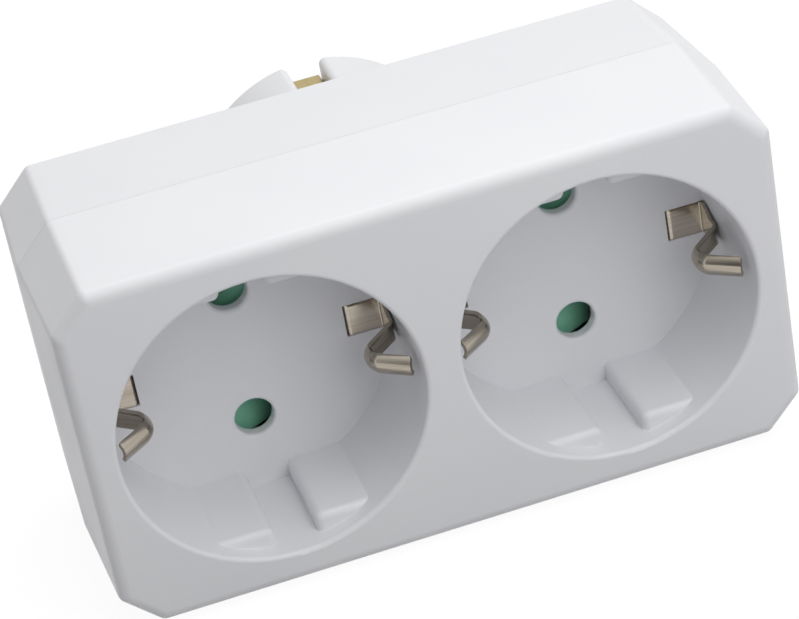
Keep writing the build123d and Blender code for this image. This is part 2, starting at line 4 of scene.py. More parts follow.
import bmesh
import bpy
from bpy.props import FloatProperty, FloatVectorProperty, IntProperty, PointerProperty
from mathutils import Euler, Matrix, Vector


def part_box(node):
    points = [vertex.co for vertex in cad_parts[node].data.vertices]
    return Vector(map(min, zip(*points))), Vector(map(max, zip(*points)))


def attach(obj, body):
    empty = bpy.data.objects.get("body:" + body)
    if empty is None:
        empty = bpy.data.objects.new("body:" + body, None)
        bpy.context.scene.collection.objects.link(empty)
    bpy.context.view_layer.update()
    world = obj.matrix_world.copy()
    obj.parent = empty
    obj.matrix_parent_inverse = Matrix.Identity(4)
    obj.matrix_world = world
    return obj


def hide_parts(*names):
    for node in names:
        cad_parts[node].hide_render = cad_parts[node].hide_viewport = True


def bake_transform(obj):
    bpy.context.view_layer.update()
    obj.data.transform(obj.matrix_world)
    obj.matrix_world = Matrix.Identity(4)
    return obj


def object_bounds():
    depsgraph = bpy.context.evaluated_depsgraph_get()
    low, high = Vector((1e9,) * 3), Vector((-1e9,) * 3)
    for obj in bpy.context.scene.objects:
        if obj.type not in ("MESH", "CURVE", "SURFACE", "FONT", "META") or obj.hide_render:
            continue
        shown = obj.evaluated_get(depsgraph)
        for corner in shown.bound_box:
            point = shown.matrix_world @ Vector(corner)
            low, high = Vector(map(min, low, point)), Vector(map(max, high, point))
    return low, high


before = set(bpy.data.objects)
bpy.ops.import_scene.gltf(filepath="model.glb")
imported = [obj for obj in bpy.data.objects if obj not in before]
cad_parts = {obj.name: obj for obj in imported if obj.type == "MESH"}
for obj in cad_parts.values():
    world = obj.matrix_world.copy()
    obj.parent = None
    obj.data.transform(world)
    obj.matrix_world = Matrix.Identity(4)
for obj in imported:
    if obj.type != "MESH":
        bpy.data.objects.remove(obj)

bl_info = {
    "name": "Two-way Socket Adapter",
    "version": (1, 0, 0),
    "blender": (4, 5, 0),
    "location": "3D View > Sidebar > Adapter",
    "description": "Finishes, earth strips, springs, cover screws and studio for a two-way socket adapter",
    "category": "Object",
}

# The model's box and the places that its solids give, in metres
cad_box = [list(corner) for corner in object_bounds()]
front_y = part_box("front_cover")[0][1]
seat_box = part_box("cover_screws")
bracket_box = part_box("plug_earth_bracket")

# A millimetre, and how near an edge has to lie to be picked
mm = 0.001
pick_distance = 0.01 * mm

# Solids that keep their shape, by finish, and the places of the new pieces
plastic_nodes = ("front_cover", "rear_cover")
shutter_nodes = ("shutter_left", "shutter_right")
cap_nodes = ("shutter_cap_left", "shutter_cap_right")
pin_nodes = ("plug_pin_live", "plug_pin_neutral")
brass_nodes = ("live_bar", "neutral_bar", "earth_bar", "earth_rivets")
steel_nodes = ("cap_screws",)
sockets = ("left", "right")
clip_sides = (("left", -1), ("right", 1))

# Turn of each cover screw's cross, in degrees
screw_turns = (18, 64, 37, 81)

# Units and limits that settings of one kind share
a_length = {"subtype": "DISTANCE", "unit": "LENGTH", "min": 0}
a_place = {"subtype": "XYZ", "unit": "LENGTH"}
an_angle = {"subtype": "ANGLE", "unit": "ROTATION"}
a_power = {"subtype": "POWER", "unit": "POWER", "min": 0}
a_colour = {"subtype": "COLOR", "min": 0, "max": 1}
a_share = {"subtype": "FACTOR", "min": 0, "max": 1}


# Settings


class AdapterFinishes(bpy.types.PropertyGroup):
    """Colours of the adapter's materials."""

    cover_colour: FloatVectorProperty(
        name="Cover", description="White of both covers", default=(0.87, 0.875, 0.897), **a_colour
    )
    cover_shade: FloatVectorProperty(
        name="Cover clouding",
        description="Slightly darker white in the slow clouding of the covers",
        default=(0.855, 0.86, 0.886),
        **a_colour,
    )
    shutter_colour: FloatVectorProperty(
        name="Shutter", description="Green of the safety shutters", default=(0.26, 0.63, 0.445), **a_colour
    )
    shutter_shade: FloatVectorProperty(
        name="Shutter clouding",
        description="Darker green in the clouding of the shutters",
        default=(0.225, 0.56, 0.39),
        **a_colour,
    )
    nickel_colour: FloatVectorProperty(
        name="Nickel", description="Warm grey of the plated strips", default=(0.485, 0.44, 0.375), **a_colour
    )
    nickel_shade: FloatVectorProperty(
        name="Nickel lines",
        description="Darker grey of the drawn lines on the plated strips",
        default=(0.35, 0.307, 0.25),
        **a_colour,
    )
    pin_colour: FloatVectorProperty(
        name="Pin", description="Bright plating of the plug pins", default=(0.72, 0.70, 0.66), **a_colour
    )
    pin_shade: FloatVectorProperty(
        name="Pin rings",
        description="Darker turning rings of the plug pins",
        default=(0.60, 0.58, 0.54),
        **a_colour,
    )
    brass_colour: FloatVectorProperty(
        name="Brass", description="Bare rolled brass", default=(0.46, 0.355, 0.135), **a_colour
    )
    brass_shade: FloatVectorProperty(
        name="Brass lines",
        description="Darker rolling lines of the brass",
        default=(0.37, 0.285, 0.095),
        **a_colour,
    )
    steel_colour: FloatVectorProperty(
        name="Steel",
        description="Zinc-plated steel of screws and springs",
        default=(0.62, 0.63, 0.64),
        **a_colour,
    )
    steel_shade: FloatVectorProperty(
        name="Steel lines",
        description="Darker lines of the plated steel",
        default=(0.50, 0.51, 0.53),
        **a_colour,
    )


class AdapterStrips(bpy.types.PropertyGroup):
    """Sizes of the bent earth strips."""

    edge_radius: FloatProperty(
        name="Edge radius", description="Rounding of the stamped edges", default=0.12 * mm, **a_length
    )
    clip_thickness: FloatProperty(
        name="Clip thickness",
        description="Thickness of the earth clips of the sockets",
        default=0.5 * mm,
        **a_length,
    )
    clip_slot: FloatProperty(
        name="Slot distance",
        description="Distance from a socket's axis to the slot that a clip comes through",
        default=14.4 * mm,
        **a_length,
    )
    clip_tab_depth: FloatProperty(
        name="Tab depth",
        description="Depth of a clip's tab in the recess floor, to the middle of the strip",
        default=17.75 * mm,
        **a_length,
    )
    clip_taper_depth: FloatProperty(
        name="Taper depth",
        description="Depth at which a clip starts to narrow",
        default=16.4 * mm,
        **a_length,
    )
    clip_spring_depth: FloatProperty(
        name="Spring depth",
        description="Depth at which a clip's spring starts",
        default=14.4 * mm,
        **a_length,
    )
    clip_spring_width: FloatProperty(
        name="Spring width",
        description="Width of a clip's spring, narrower than its tab",
        default=2.7 * mm,
        **a_length,
    )
    clip_crown: FloatProperty(
        name="Spring crown",
        description="How far the middle of the spring is arched towards the plug",
        default=0.7 * mm,
        **a_length,
    )
    clip_shoulder_depth: FloatProperty(
        name="Shoulder depth",
        description="Depth at which a clip leaves the recess wall",
        default=12.8 * mm,
        **a_length,
    )
    clip_bulge: FloatProperty(
        name="Bulge",
        description="How far the edges of the sprung bulge stand in from the wall",
        default=4.3 * mm,
        **a_length,
    )
    clip_bulge_depth: FloatProperty(
        name="Bulge depth", description="Depth of the middle of the bulge", default=7.7 * mm, **a_length
    )
    clip_bulge_length: FloatProperty(
        name="Bulge length",
        description="Length of the bulge between its two corners, before they are bent",
        default=2.0 * mm,
        **a_length,
    )
    clip_tip_depth: FloatProperty(
        name="Tip depth", description="Depth of a clip's tip", default=3.3 * mm, **a_length
    )
    clip_tip_gap: FloatProperty(
        name="Tip gap",
        description="How far a clip's tip stays in from its run along the wall",
        default=0.1 * mm,
        **a_length,
    )
    clip_tip_radius: FloatProperty(
        name="Tip corners",
        description="Rounding of the two corners of a clip's tip",
        default=0.5 * mm,
        **a_length,
    )
    clip_bend_radius: FloatProperty(
        name="Bend radius",
        description="Radius of a clip's tight bends, at the middle of the strip",
        default=0.45 * mm,
        **a_length,
    )
    clip_shoulder_radius: FloatProperty(
        name="Shoulder radius",
        description="Radius of the bend at a clip's shoulder",
        default=1.5 * mm,
        **a_length,
    )
    clip_bulge_radius: FloatProperty(
        name="Bulge radius",
        description="Radius of the bends of the bulge, at the middle of the strip",
        default=1.7 * mm,
        **a_length,
    )
    plug_strip_thickness: FloatProperty(
        name="Plug strip thickness",
        description="Thickness of the plug's earth strip",
        default=0.8 * mm,
        **a_length,
    )
    plug_strip_radius: FloatProperty(
        name="Plug strip radius",
        description="Radius of the bends of the plug's earth strip, at its middle",
        default=1.2 * mm,
        **a_length,
    )
    rivet_radius: FloatProperty(
        name="Rivet hole", description="Radius of the rivet holes", default=1.05 * mm, **a_length
    )
    rivet_offset: FloatProperty(
        name="Rivet offset",
        description="Distance from a clip's slot to its rivet",
        default=2.9 * mm,
        **a_length,
    )
    bend_steps: IntProperty(name="Bend steps", description="Faces along each bend", default=12, min=2)
    tip_steps: IntProperty(
        name="Tip steps", description="Faces along each rounded corner of a clip's tip", default=4, min=2
    )
    arch_steps: IntProperty(
        name="Arch steps", description="Faces across each arched spring", default=12, min=2
    )


class AdapterSprings(bpy.types.PropertyGroup):
    """Sizes of the shutters' wire springs."""

    wrap: FloatProperty(
        name="Wrap",
        description="Turn of the bend round the shutter's pivot",
        default=radians(131.26),
        **an_angle,
    )
    rest_leg: FloatProperty(
        name="Rest leg", description="Length of the leg that rests on a post", default=11.72 * mm, **a_length
    )
    end_radius: FloatProperty(
        name="End radius", description="Rounding of the wire's two cut ends", default=0.06 * mm, **a_length
    )
    wire_faces: IntProperty(name="Wire faces", description="Faces round the wire", default=20, min=6)
    bend_steps: IntProperty(
        name="Bend steps", description="Faces along the bend round the pivot", default=36, min=2
    )


class AdapterScrews(bpy.types.PropertyGroup):
    """Sizes of the cover screws."""

    head_radius: FloatProperty(
        name="Head radius", description="Radius of the domed head", default=2.6 * mm, **a_length
    )
    head_height: FloatProperty(
        name="Head height", description="Height of the domed head", default=2.0 * mm, **a_length
    )
    shank_radius: FloatProperty(
        name="Shank radius", description="Radius over the thread", default=1.4 * mm, **a_length
    )
    thread_pitch: FloatProperty(
        name="Thread pitch",
        description="Distance from one thread ridge to the next",
        default=1.1 * mm,
        **a_length,
    )
    thread_root: FloatProperty(
        name="Thread root",
        description="Radius between the ridges, as a share of the shank radius",
        default=0.76,
        **a_share,
    )
    recess_width: FloatProperty(
        name="Recess width",
        description="Width of each slot of the cross recess",
        default=0.75 * mm,
        **a_length,
    )
    recess_span: FloatProperty(
        name="Recess span", description="Span of the cross recess", default=3.2 * mm, **a_length
    )
    recess_depth: FloatProperty(
        name="Recess depth",
        description="Depth of the cross recess below the top of the head",
        default=1.5 * mm,
        **a_length,
    )
    recess_taper: FloatProperty(
        name="Recess taper",
        description="Width of the cross recess at its bottom, as a share of its width at the top",
        default=0.6,
        **a_share,
    )
    head_faces: IntProperty(name="Head faces", description="Faces round the domed head", default=48, min=8)
    head_rings: IntProperty(
        name="Head rings",
        description="Rings of faces on the ball that the head is cut from",
        default=32,
        min=4,
    )


class AdapterStudio(bpy.types.PropertyGroup):
    """Camera, floor and light."""

    camera_place: FloatVectorProperty(
        name="Camera", description="Place of the camera", default=(-0.064244, -0.347922, 0.219072), **a_place
    )
    camera_aim: FloatVectorProperty(
        name="Aim",
        description="Point that the camera looks at",
        default=(-0.003258, -0.033505, 0.032347),
        **a_place,
    )
    camera_roll: FloatProperty(
        name="Roll",
        description="Turn of the camera about its line of sight",
        default=radians(-10.958),
        **an_angle,
    )
    camera_lens: FloatProperty(
        name="Lens",
        description="Focal length",
        subtype="DISTANCE_CAMERA",
        unit="CAMERA",
        default=134.072,
        min=1,
    )
    floor_radius: FloatProperty(
        name="Floor radius", description="Radius of the round floor", default=4, **a_length
    )
    floor_colour: FloatVectorProperty(
        name="Floor",
        description="Grey of the floor that lights the adapter from below",
        default=(0.45, 0.45, 0.46),
        **a_colour,
    )
    floor_white: FloatProperty(
        name="Floor white",
        description="Share of plain white in the floor as the camera sees it, the rest keeps the shadow",
        default=0.75,
        **a_share,
    )
    floor_glow: FloatProperty(
        name="Floor glow", description="Brightness of the floor's white share", default=1.24, min=0
    )
    room_light: FloatProperty(
        name="Room light", description="Even light from all round", default=0.315, min=0
    )
    key_power: FloatProperty(
        name="Key light", description="Power of the soft lamp above the front", default=2.1, **a_power
    )
    key_place: FloatVectorProperty(
        name="Key light place",
        description="Place of the soft lamp above the front",
        default=(0.2, -0.3, 1.0),
        **a_place,
    )
    key_size: FloatProperty(
        name="Key light size", description="Side of the soft lamp above the front", default=0.5, **a_length
    )
    back_power: FloatProperty(
        name="Back light", description="Power of the soft lamp above the back", default=4.35, **a_power
    )
    back_place: FloatVectorProperty(
        name="Back light place",
        description="Place of the soft lamp above the back",
        default=(0.3, 0.5, 0.9),
        **a_place,
    )
    back_size: FloatProperty(
        name="Back light size", description="Side of the soft lamp above the back", default=0.8, **a_length
    )
    fill_power: FloatProperty(
        name="Fill light", description="Power of the soft lamp in front", default=0.2, **a_power
    )
    fill_place: FloatVectorProperty(
        name="Fill light place",
        description="Place of the soft lamp in front",
        default=(0.07, -0.22, 0.18),
        **a_place,
    )
    fill_size: FloatProperty(
        name="Fill light size", description="Side of the soft lamp in front", default=0.2, **a_length
    )
    dark_side: FloatVectorProperty(
        name="Dark side",
        description="Direction of the room's dark side behind the camera, as polished metal reflects it",
        subtype="DIRECTION",
        default=(-0.15, -0.98, 0.1),
    )
    dark_tone: FloatProperty(
        name="Dark tone",
        description="Brightness of the room's dark side in reflections",
        default=0.04,
        **a_share,
    )
    dark_core: FloatProperty(
        name="Dark core",
        description="Angle from the dark side within which the reflected room is darkest",
        default=radians(42),
        **an_angle,
    )
    dark_edge: FloatProperty(
        name="Dark edge",
        description="Angle from the dark side beyond which the reflected room is white",
        default=radians(70),
        **an_angle,
    )


def settings():
    """The adapter's settings on the scene."""
    return bpy.context.scene.adapter


# Finishes

# Range of the noise that runs from a finish's light colour to its dark one
tone_low = 0.3
tone_high = 0.7

# Share of the fine lines in the tone of drawn metal, the rest is staining
line_share = 0.6

# Surface relief of all finishes, and the scale of a pattern that runs no way in particular
bump_strength = 0.4
relief = 0.02 * mm
unstretched = (1, 1, 1)

group_inputs = (
    ("Vector", "NodeSocketVector"),
    ("Light Colour", "NodeSocketColor"),
    ("Dark Colour", "NodeSocketColor"),
    ("Low Roughness", "NodeSocketFloat"),
    ("High Roughness", "NodeSocketFloat"),
    ("Fine Scale", "NodeSocketFloat"),
    ("Slow Scale", "NodeSocketFloat"),
)
group_outputs = (
    ("Colour", "NodeSocketColor"),
    ("Roughness", "NodeSocketFloat"),
    ("Height", "NodeSocketFloat"),
)


def start_group(name):
    """Empty shader group with the sockets that every finish uses."""
    group = bpy.data.node_groups.new(name, "ShaderNodeTree")
    for label, kind in group_inputs:
        group.interface.new_socket(label, in_out="INPUT", socket_type=kind)
    for label, kind in group_outputs:
        group.interface.new_socket(label, in_out="OUTPUT", socket_type=kind)
    return group, group.nodes.new("NodeGroupInput"), group.nodes.new("NodeGroupOutput")


def add_noise(group, source, scale_name, detail):
    """Noise in a group, its scale from a named input."""
    noise = group.nodes.new("ShaderNodeTexNoise")
    noise.inputs["Detail"].default_value = detail
    group.links.new(source.outputs["Vector"], noise.inputs["Vector"])
    group.links.new(source.outputs[scale_name], noise.inputs["Scale"])
    return noise.outputs["Fac"]


def blend_finish(group, source, result, mask):
    """Mixes colour and roughness of a finish by a mask."""
    contrast = group.nodes.new("ShaderNodeMapRange")
    contrast.inputs["From Min"].default_value = tone_low
    contrast.inputs["From Max"].default_value = tone_high
    group.links.new(mask, contrast.inputs["Value"])
    tint = group.nodes.new("ShaderNodeMixRGB")
    group.links.new(contrast.outputs["Result"], tint.inputs["Fac"])
    group.links.new(source.outputs["Light Colour"], tint.inputs["Color1"])
    group.links.new(source.outputs["Dark Colour"], tint.inputs["Color2"])
    group.links.new(tint.outputs["Color"], result.inputs["Colour"])
    gloss = group.nodes.new("ShaderNodeMapRange")
    group.links.new(contrast.outputs["Result"], gloss.inputs["Value"])
    group.links.new(source.outputs["Low Roughness"], gloss.inputs["To Min"])
    group.links.new(source.outputs["High Roughness"], gloss.inputs["To Max"])
    group.links.new(gloss.outputs["Result"], result.inputs["Roughness"])


def moulded_grain():
    """Shader group of moulded plastic: fine grain, and slow clouding of tone and gloss."""
    if "moulded_grain" in bpy.data.node_groups:
        return bpy.data.node_groups["moulded_grain"]
    group, source, result = start_group("moulded_grain")
    clouds = add_noise(group, source, "Slow Scale", detail=3)
    grain = add_noise(group, source, "Fine Scale", detail=2)
    blend_finish(group, source, result, clouds)
    group.links.new(grain, result.inputs["Height"])
    return group


def drawn_lines():
    """Shader group of drawn or turned metal: fine lines over slow staining."""
    if "drawn_lines" in bpy.data.node_groups:
        return bpy.data.node_groups["drawn_lines"]
    group, source, result = start_group("drawn_lines")
    stains = add_noise(group, source, "Slow Scale", detail=2)
    lines = add_noise(group, source, "Fine Scale", detail=4)
    both = group.nodes.new("ShaderNodeMath")
    both.operation = "MULTIPLY_ADD"
    both.inputs[1].default_value = line_share
    group.links.new(lines, both.inputs[0])
    faint = group.nodes.new("ShaderNodeMath")
    faint.operation = "MULTIPLY"
    faint.inputs[1].default_value = 1 - line_share
    group.links.new(stains, faint.inputs[0])
    group.links.new(faint.outputs["Value"], both.inputs[2])
    blend_finish(group, source, result, both.outputs["Value"])
    group.links.new(lines, result.inputs["Height"])
    return group


def make_finish(name, group, colours, roughness, scales, stretch=unstretched, metallic=0):
    """Material from a shader group: light and dark colour, low and high roughness, fine and slow scale."""
    material = bpy.data.materials.new(name)
    material.use_nodes = True
    tree = material.node_tree
    shader = tree.nodes["Principled BSDF"]
    shader.inputs["Metallic"].default_value = metallic
    place = tree.nodes.new("ShaderNodeTexCoord")
    mapping = tree.nodes.new("ShaderNodeMapping")
    mapping.inputs["Scale"].default_value = stretch
    tree.links.new(place.outputs["Object"], mapping.inputs["Vector"])
    surface = tree.nodes.new("ShaderNodeGroup")
    surface.node_tree = group
    tree.links.new(mapping.outputs["Vector"], surface.inputs["Vector"])
    surface.inputs["Light Colour"].default_value = (*colours[0], 1)
    surface.inputs["Dark Colour"].default_value = (*colours[1], 1)
    surface.inputs["Low Roughness"].default_value = roughness[0]
    surface.inputs["High Roughness"].default_value = roughness[1]
    surface.inputs["Fine Scale"].default_value = scales[0]
    surface.inputs["Slow Scale"].default_value = scales[1]
    bump = tree.nodes.new("ShaderNodeBump")
    bump.inputs["Strength"].default_value = bump_strength
    bump.inputs["Distance"].default_value = relief
    tree.links.new(surface.outputs["Colour"], shader.inputs["Base Color"])
    tree.links.new(surface.outputs["Roughness"], shader.inputs["Roughness"])
    tree.links.new(surface.outputs["Height"], bump.inputs["Height"])
    tree.links.new(bump.outputs["Normal"], shader.inputs["Normal"])
    return material


def make_moulding(name, colours, roughness, scales):
    """Moulded plastic, clouded between two close colours."""
    return make_finish(name, moulded_grain(), colours, roughness, scales)


def make_metal(name, colours, roughness, scales, stretch=unstretched):
    """Drawn, rolled or turned metal, its lines stretched along one way."""
    return make_finish(name, drawn_lines(), colours, roughness, scales, stretch, metallic=1)


def give_finish(nodes, material):
    """Puts a material on CAD nodes."""
    for name in nodes:
        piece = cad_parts[name]
        if not piece.material_slots:
            piece.data.materials.append(material)
        for slot in piece.material_slots:
            slot.material = material


# Modelling helpers

# Rounded edges: faces across each, and the angles from which an edge is rounded
edge_steps = 3
strip_edge_angle = radians(50)
wire_edge_angle = radians(60)

# Angle up to which two faces are shaded as one surface
smooth_angle = radians(35)

# Holes: faces round each, and the length of the drill in thicknesses of the strip
hole_faces = 32
drill_reach = 4


def deselect_all():
    """Leaves edit mode and deselects every object."""
    if bpy.context.mode != "OBJECT":
        bpy.ops.object.mode_set(mode="OBJECT")
    bpy.ops.object.select_all(action="DESELECT")


def make_active(piece):
    """Selects one piece alone."""
    deselect_all()
    piece.select_set(True)
    bpy.context.view_layer.objects.active = piece


def name_piece(piece, name):
    """Names a piece and its mesh."""
    piece.name = name
    piece.data.name = name


def place_in_mesh():
    """Moves the active piece's place, turn and size into its mesh."""
    bpy.ops.object.transform_apply(location=True, rotation=True, scale=True)


def draw_out(offset):
    """Extrudes what is selected in edit mode."""
    bpy.ops.mesh.extrude_region_move(TRANSFORM_OT_translate={"value": offset})


def face_outwards():
    """Points all faces outwards and leaves edit mode."""
    bpy.ops.mesh.select_all(action="SELECT")
    bpy.ops.mesh.normals_make_consistent(inside=False)
    bpy.ops.object.mode_set(mode="OBJECT")


def select_edges(test):
    """Selects the edges of the piece in edit mode whose middle and run pass a test."""
    bpy.ops.mesh.select_mode(type="EDGE")
    bpy.ops.mesh.select_all(action="DESELECT")
    sheet = bmesh.from_edit_mesh(bpy.context.object.data)
    for edge in sheet.edges:
        start, end = (vertex.co for vertex in edge.verts)
        edge.select_set(test((start + end) / 2, end - start))
    sheet.select_flush_mode()
    bmesh.update_edit_mesh(bpy.context.object.data)


def apply_modifier(piece, kind, **values):
    """Adds a modifier with some values and applies it."""
    make_active(piece)
    bpy.ops.object.modifier_add(type=kind)
    modifier = piece.modifiers[-1]
    for name, value in values.items():
        setattr(modifier, name, value)
    bpy.ops.object.modifier_apply(modifier=modifier.name)


def cut_away(piece, cutter):
    """Takes a cutter's shape out of a piece and deletes the cutter."""
    apply_modifier(piece, "BOOLEAN", object=cutter, operation="DIFFERENCE", solver="EXACT")
    make_active(cutter)
    bpy.ops.object.delete()
    make_active(piece)


def drill(strip, place, radius, thickness):
    """Round hole through a strip, along the depth."""
    deselect_all()
    bpy.ops.mesh.primitive_cylinder_add(
        vertices=hole_faces,
        radius=radius,
        depth=drill_reach * thickness,
        location=place,
        rotation=(radians(90), 0, 0),
    )
    cut_away(strip, bpy.context.object)


def bend_sheet(name, corners, widths, radii, across):
    """Thin sheet through corner points, each with its width along an axis and its bend radius."""
    form = settings().strips
    turns = {"X": (radians(90), 0, 0), "Z": (0, radians(90), 0)}
    deselect_all()
    bpy.ops.mesh.primitive_plane_add(size=widths[0], rotation=turns[across])
    sheet = bpy.context.object
    name_piece(sheet, name)
    place_in_mesh()

    # Only one edge of the plane stays, at the first corner
    bpy.ops.object.mode_set(mode="EDIT")
    if across == "X":
        select_edges(lambda middle, run: middle.z < -pick_distance)
    else:
        select_edges(lambda middle, run: middle.y < -pick_distance)
    bpy.ops.mesh.select_mode(type="VERT")
    bpy.ops.mesh.delete(type="VERT")
    bpy.ops.mesh.select_all(action="SELECT")
    kept = bmesh.from_edit_mesh(sheet.data).verts
    kept_middle = sum((vertex.co for vertex in kept), Vector()) / len(kept)
    bpy.ops.transform.translate(value=corners[0] - kept_middle)

    # The edge is drawn out along each run, and widened or narrowed
    bpy.ops.mesh.select_mode(type="EDGE")
    for step in range(1, len(corners)):
        draw_out(corners[step] - corners[step - 1])
        share = widths[step] / widths[step - 1]
        value = (share, 1, 1) if across == "X" else (1, 1, share)
        bpy.ops.transform.resize(value=value, center_override=corners[step])

    # Each corner with a radius is bent
    for before, corner, after, radius in zip(corners, corners[1:], corners[2:], radii):
        if radius:
            turn = (corner - before).angle(after - corner)
            select_edges(lambda middle, run: (middle - corner).length < pick_distance)
            bpy.ops.mesh.bevel(offset=radius * tan(turn / 2), segments=form.bend_steps, affect="EDGES")
    face_outwards()
    return sheet


def thicken(sheet, thickness):
    """Gives a bent sheet its thickness on both sides, and stamped edges."""
    apply_modifier(sheet, "SOLIDIFY", thickness=thickness, offset=0)
    radius = settings().strips.edge_radius
    apply_modifier(sheet, "BEVEL", width=radius, segments=edge_steps, angle_limit=strip_edge_angle)


def socket_axis(socket):
    """Place of a socket's axis, across and up, from its shutter."""
    low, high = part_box(f"shutter_{socket}")
    return (low[0] + high[0]) / 2, (low[2] + high[2]) / 2


def finish_piece(piece, material, node):
    """Smooths a new piece, gives it its material and hides the solid that it stands for."""
    make_active(piece)
    bpy.ops.object.shade_smooth_by_angle(angle=smooth_angle)
    piece.data.materials.clear()
    piece.data.materials.append(material)
    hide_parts(node)


# Pieces


class ADAPTER_OT_covers(bpy.types.Operator):
    """Gives both covers their white moulded finish"""

    bl_idname = "adapter.covers"
    bl_label = "Covers"

    def execute(self, context):
        look = settings().finishes
        colours = (look.cover_colour, look.cover_shade)
        white = make_moulding("white_moulding", colours, roughness=(0.34, 0.44), scales=(5200, 45))
        give_finish(plastic_nodes, white)
        return {"FINISHED"}


class ADAPTER_OT_shutters(bpy.types.Operator):
    """Gives the shutters their green finish and the caps a plain one"""

    bl_idname = "adapter.shutters"
    bl_label = "Shutters and caps"

    def execute(self, context):
        look = settings().finishes
        colours = (look.shutter_colour, look.shutter_shade)
        green = make_moulding("green_moulding", colours, roughness=(0.30, 0.42), scales=(4000, 260))
        give_finish(shutter_nodes, green)
        colours = (look.cover_shade, look.cover_colour)
        plain = make_moulding("cap_moulding", colours, roughness=(0.42, 0.52), scales=(4000, 120))
        give_finish(cap_nodes, plain)
        return {"FINISHED"}


class ADAPTER_OT_shutter_springs(bpy.types.Operator):
    """Winds the wire springs that turn the shutters back"""

    bl_idname = "adapter.shutter_springs"
    bl_label = "Shutter springs"

    def execute(self, context):
        form = settings().springs
        look = settings().finishes
        colours = (look.steel_colour, look.steel_shade)
        steel = make_metal("spring_steel", colours, roughness=(0.26, 0.38), scales=(1400, 260))
        for socket in sockets:
            self.wind_spring(form, socket, steel)
        return {"FINISHED"}

    def wind_spring(self, form, socket, steel):
        """One wire: a leg beside the shutter's upper arm, a bend round the pivot and a leg on a post."""
        node = f"shutter_spring_{socket}"
        low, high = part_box(node)
        axis_x, axis_z = socket_axis(socket)
        wire_radius = (high[1] - low[1]) / 2
        loop_radius = high[0] - wire_radius - axis_x
        pivot = Vector((axis_x, (low[1] + high[1]) / 2, axis_z))
        tip = (axis_x + loop_radius, pivot.y, high[2])
        deselect_all()
        bpy.ops.mesh.primitive_circle_add(
            vertices=form.wire_faces, radius=wire_radius, fill_type="NGON", location=tip
        )
        spring = bpy.context.object
        name_piece(spring, f"{node}_wire")
        place_in_mesh()
        bpy.ops.object.mode_set(mode="EDIT")
        bpy.ops.mesh.select_mode(type="FACE")
        bpy.ops.mesh.select_all(action="SELECT")
        draw_out((0, 0, axis_z - high[2]))
        bpy.ops.mesh.spin(steps=form.bend_steps, angle=-form.wrap, center=pivot, axis=(0, 1, 0))
        draw_out(Vector((-sin(form.wrap), 0, -cos(form.wrap))) * form.rest_leg)
        bpy.ops.mesh.select_all(action="SELECT")
        bpy.ops.mesh.remove_doubles(threshold=pick_distance)
        face_outwards()
        apply_modifier(
            spring, "BEVEL", width=form.end_radius, segments=edge_steps, angle_limit=wire_edge_angle
        )
        finish_piece(spring, steel, node)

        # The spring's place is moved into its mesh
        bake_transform(spring)


